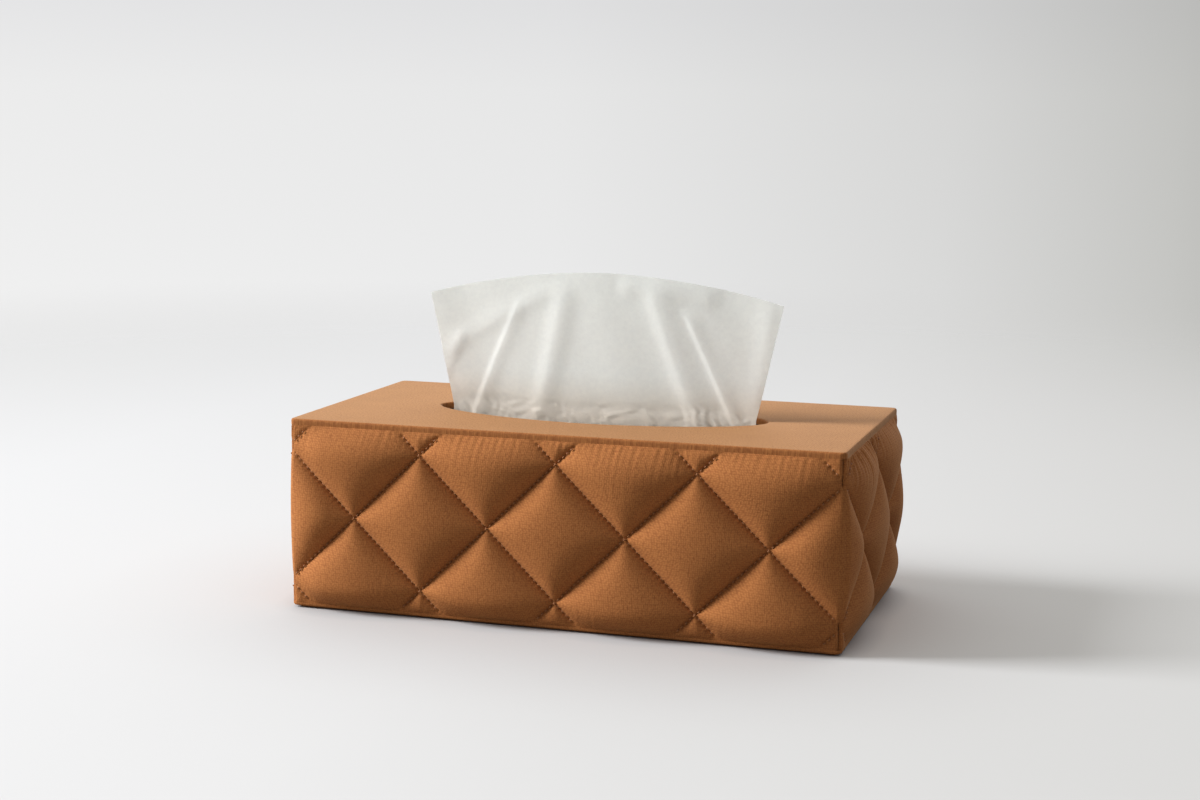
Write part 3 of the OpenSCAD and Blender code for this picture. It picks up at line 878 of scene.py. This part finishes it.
def floor_paper(name):
    """Matt white background paper that melts into the pale air far behind the cover. Seen by the
    camera it has a painted glow that lifts it and its shadow; near the cover the glow gives way to
    painted shade, warm and darker beside the cover and dark in the gap under it."""
    material, tree = new_material(name)
    place = add_node(tree, "ShaderNodeTexCoord")
    apart = add_node(tree, "ShaderNodeSeparateXYZ", links={0: place.outputs["Object"]})
    across = add_node(tree, "ShaderNodeMapRange", {"From Min": -1.0, "From Max": 0.6},
                      {"Value": apart.outputs["X"]})
    # Painted fall of light across the paper: its camera colour is darker to the left, where the lamp is
    # nearer, and its glow darker to the right
    pale = ramp_between(tree, across.outputs[0], "#898B8C", "#AFB1B4", 0.0, 0.6)
    painted_glow_colour = ramp_between(tree, across.outputs[0], "#93908E", "#706A5E", 0.35, 0.85)
    path = add_node(tree, "ShaderNodeLightPath")
    # Painted shade: the glow dies away in the narrow gap under the cover, leaving a dark contact line
    painted_contact_shade = add_node(tree, "ShaderNodeAmbientOcclusion", {"samples": 8, "Distance": 12 * MM})
    shown = add_node(tree, "ShaderNodeMath", {"operation": "MULTIPLY"},
                     {0: path.outputs["Is Camera Ray"], 1: painted_contact_shade.outputs["AO"]})
    # Other rays see a darker grey than the camera does, so the paper throws back less light onto the cover
    colour = add_node(tree, "ShaderNodeMix", {"data_type": "RGBA", 6: linear("#9C9893")},
                      {0: path.outputs["Is Camera Ray"], 7: pale})
    diffuse = add_node(tree, "ShaderNodeBsdfDiffuse", links={"Color": colour.outputs[2]})
    # Painted shade: within about 120 mm of the cover the glow turns towards a warm dark brown, standing in
    # for shade and for brown light thrown back from the cloth
    painted_shade_near_cover = add_node(tree, "ShaderNodeAmbientOcclusion", {"samples": 8, "Distance": 120 * MM})
    painted_warm_shade = add_node(tree, "ShaderNodeMix", {"data_type": "RGBA", 6: linear("#381400")},
                      {0: painted_shade_near_cover.outputs["AO"], 7: painted_glow_colour})
    # Painted glow: light that the paper gives off to the camera alone, lifting it and its shadows
    painted_glow = add_node(tree, "ShaderNodeEmission",
                    links={"Color": painted_warm_shade.outputs[2], "Strength": shown.outputs[0]})
    paper_shader = add_node(tree, "ShaderNodeAddShader",
                            links={0: diffuse.outputs[0], 1: painted_glow.outputs[0]})
    clear = add_node(tree, "ShaderNodeBsdfTransparent")
    away = add_node(tree, "ShaderNodeVectorMath", {"operation": "LENGTH"}, {0: place.outputs["Object"]})
    fade = add_node(tree, "ShaderNodeMapRange",
                    {"interpolation_type": "SMOOTHSTEP", "From Min": 0.5, "From Max": 1.7},
                    {"Value": away.outputs["Value"]})
    mix = add_node(tree, "ShaderNodeMixShader",
                   links={0: fade.outputs[0], 1: paper_shader.outputs[0], 2: clear.outputs[0]})
    add_node(tree, "ShaderNodeOutputMaterial", links={"Surface": mix.outputs[0]})
    return material


def grey_ramp(tree, factor, stops):
    """Grey level that follows stops of place and sRGB level."""
    ramp = add_node(tree, "ShaderNodeValToRGB", links={"Fac": factor})
    elements = ramp.color_ramp.elements
    while len(elements) < len(stops):
        elements.new(0.5)
    for element, (place, level) in zip(elements, stops):
        element.position = place
        element.color = linear(level)
    return ramp.outputs["Color"]


def set_world(backdrop_glow):
    """Pale studio air: even soft light, and the photo's light grey backdrop for the camera alone."""
    world = bpy.data.worlds.new("studio_air")
    world.use_nodes = True
    tree = world.node_tree
    tree.nodes.clear()
    place = add_node(tree, "ShaderNodeTexCoord")
    toward = add_node(tree, "ShaderNodeSeparateXYZ", links={0: place.outputs["Generated"]})
    side = add_node(tree, "ShaderNodeMapRange", {"From Min": -0.60, "From Max": 0.02},
                    {"Value": toward.outputs["X"]})
    height = add_node(tree, "ShaderNodeMapRange", {"From Min": -0.12, "From Max": 0.04},
                      {"Value": toward.outputs["Z"]})
    # Painted fall of light on the backdrop: lighter to the left, darker towards the right and upward
    across = grey_ramp(tree, side.outputs[0],
                       [(0.0, "#FFFFFF"), (0.45, "#F8F8F8"), (0.75, "#E6E6E5"), (0.92, "#D2D2CF"),
                        (1.0, "#C3C3BF")])
    upward = grey_ramp(tree, height.outputs[0],
                       [(0.0, "#F2F2F2"), (0.4, "#EFEFEF"), (0.75, "#EDEDED"), (1.0, "#E6E6E7")])
    backdrop = add_node(tree, "ShaderNodeMix", {"data_type": "RGBA", "blend_type": "MULTIPLY", 0: 1.0},
                        {6: across, 7: upward})
    seen = add_node(tree, "ShaderNodeBackground", {"Strength": 1.0}, {"Color": backdrop.outputs[2]})
    above = add_node(tree, "ShaderNodeMapRange",
                     {"From Min": 0.0, "From Max": 1.0, "To Min": 0.12, "To Max": 0.45},
                     {"Value": toward.outputs["Z"]})
    leftward = add_node(tree, "ShaderNodeMapRange",
                        {"From Min": -1.0, "From Max": 1.0, "To Min": 1.45, "To Max": 0.75},
                        {"Value": toward.outputs["X"]})
    overall = add_node(tree, "ShaderNodeMath", {"operation": "MULTIPLY"},
                       {0: above.outputs[0], 1: leftward.outputs[0]})
    behind = add_node(tree, "ShaderNodeMapRange",
                      {"interpolation_type": "SMOOTHSTEP", "From Min": 0.1, "From Max": 1.0,
                       "To Min": 0.0, "To Max": backdrop_glow},
                      {"Value": toward.outputs["Y"]})
    level = add_node(tree, "ShaderNodeMath", {"operation": "MULTIPLY_ADD"},
                     {0: behind.outputs[0], 1: leftward.outputs[0], 2: overall.outputs[0]})
    air = add_node(tree, "ShaderNodeBackground", {"Color": linear("#FCFDFD")},
                   {"Strength": level.outputs[0]})
    path = add_node(tree, "ShaderNodeLightPath")
    mix = add_node(tree, "ShaderNodeMixShader",
                   links={0: path.outputs["Is Camera Ray"], 1: air.outputs[0], 2: seen.outputs[0]})
    add_node(tree, "ShaderNodeOutputWorld", links={"Surface": mix.outputs[0]})
    bpy.context.scene.world = world


set_camera()
stage_floor = floor_disc()
give(stage_floor, floor_paper("floor_paper"))
set_world(backdrop_glow=1.4)
area_light("key_light", azimuth=-74, elevation=28, distance=2.5, size=(0.75, 1.45), power=114,
           colour="#FFFEFD")

# Both cloths pale with painted sheen at grazing angles; the top's copy takes far more of it, so the top is
# painted paler than the walls
wall_cloth = microfibre("wall_cloth", "#935A32", "#B27442", "#A27246", "#BA8450", 0.45)
top_cloth = microfibre("top_cloth", "#8E5731", "#AE7241", "#946F4C", "#B38960", 0.95, level=True)
quilt_thread = spun_thread("quilt_thread", "#8A5531", "#AE774A")
grey_board = fibre_board("grey_board", "#9A9184", "#B3AA9C")
carton_card = fibre_board("carton_card", "#D6D1C6", "#EAE6DC")
lining_cloth = woven_lining("lining_cloth", "#2F2119", "#4A372A")
paper = tissue_paper("tissue_paper", "#F3F6F5", "#FAFDFB")
window_film = clear_film("window_film")

for seed, (side, half, half_out, count, turn, shares, tuck, hem_roll, gathers) in enumerate((
        ("front", half_w, half_d, diamonds_w, 0.0,
         (left_share, right_share), 1.0, 13 * MM, 0.17 * MM),
        ("back", half_w, half_d, diamonds_w, math.pi,
         (right_share, left_share), 1.0, 13 * MM, 0.17 * MM),
        ("left", half_d, half_w, diamonds_d, -math.pi / 2,
         (left_share, left_share), 1.6, 24 * MM, 0.3 * MM),
        ("right", half_d, half_w, diamonds_d, math.pi / 2,
         (right_share, right_share), 1.0, 24 * MM, 0.8 * MM))):
    pitch = 2 * half / count
    side_length = math.hypot(pitch, diamond_h) / 2
    wall = Wall(half, half_out, count, pitch, side_length, turn, shares, tuck, hem_roll, gathers, seed)
    pad = quilted_wall(side + "_padding", wall)
    give(pad, wall_cloth)
    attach(pad, "root")
    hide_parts(side + "_quilt")
    seam = wall_stitching(side + "_stitching", wall)
    give(seam, quilt_thread)
    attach(seam, "root")

panel = top_panel()
give(panel, top_cloth)
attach(panel, "root")
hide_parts("top_cover")

hem = hem_strip()
give(hem, wall_cloth)
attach(hem, "root")
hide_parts("bottom_binding")

tissue = pulled_tissue()
give(tissue, paper)
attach(tissue, "root")
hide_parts("raised_tissue")

pack = tissue_pack()
give(pack, paper)
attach(pack, "root")
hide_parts("tissue_stack")

for node in ("top_board", "front_board", "back_board", "left_board", "right_board"):
    give(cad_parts[node], grey_board)
give(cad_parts["lining"], lining_cloth)
give(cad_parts["tissue_carton"], carton_card)
give(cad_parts["carton_film"], window_film)

bpy.context.scene.view_settings.view_transform = "Standard"
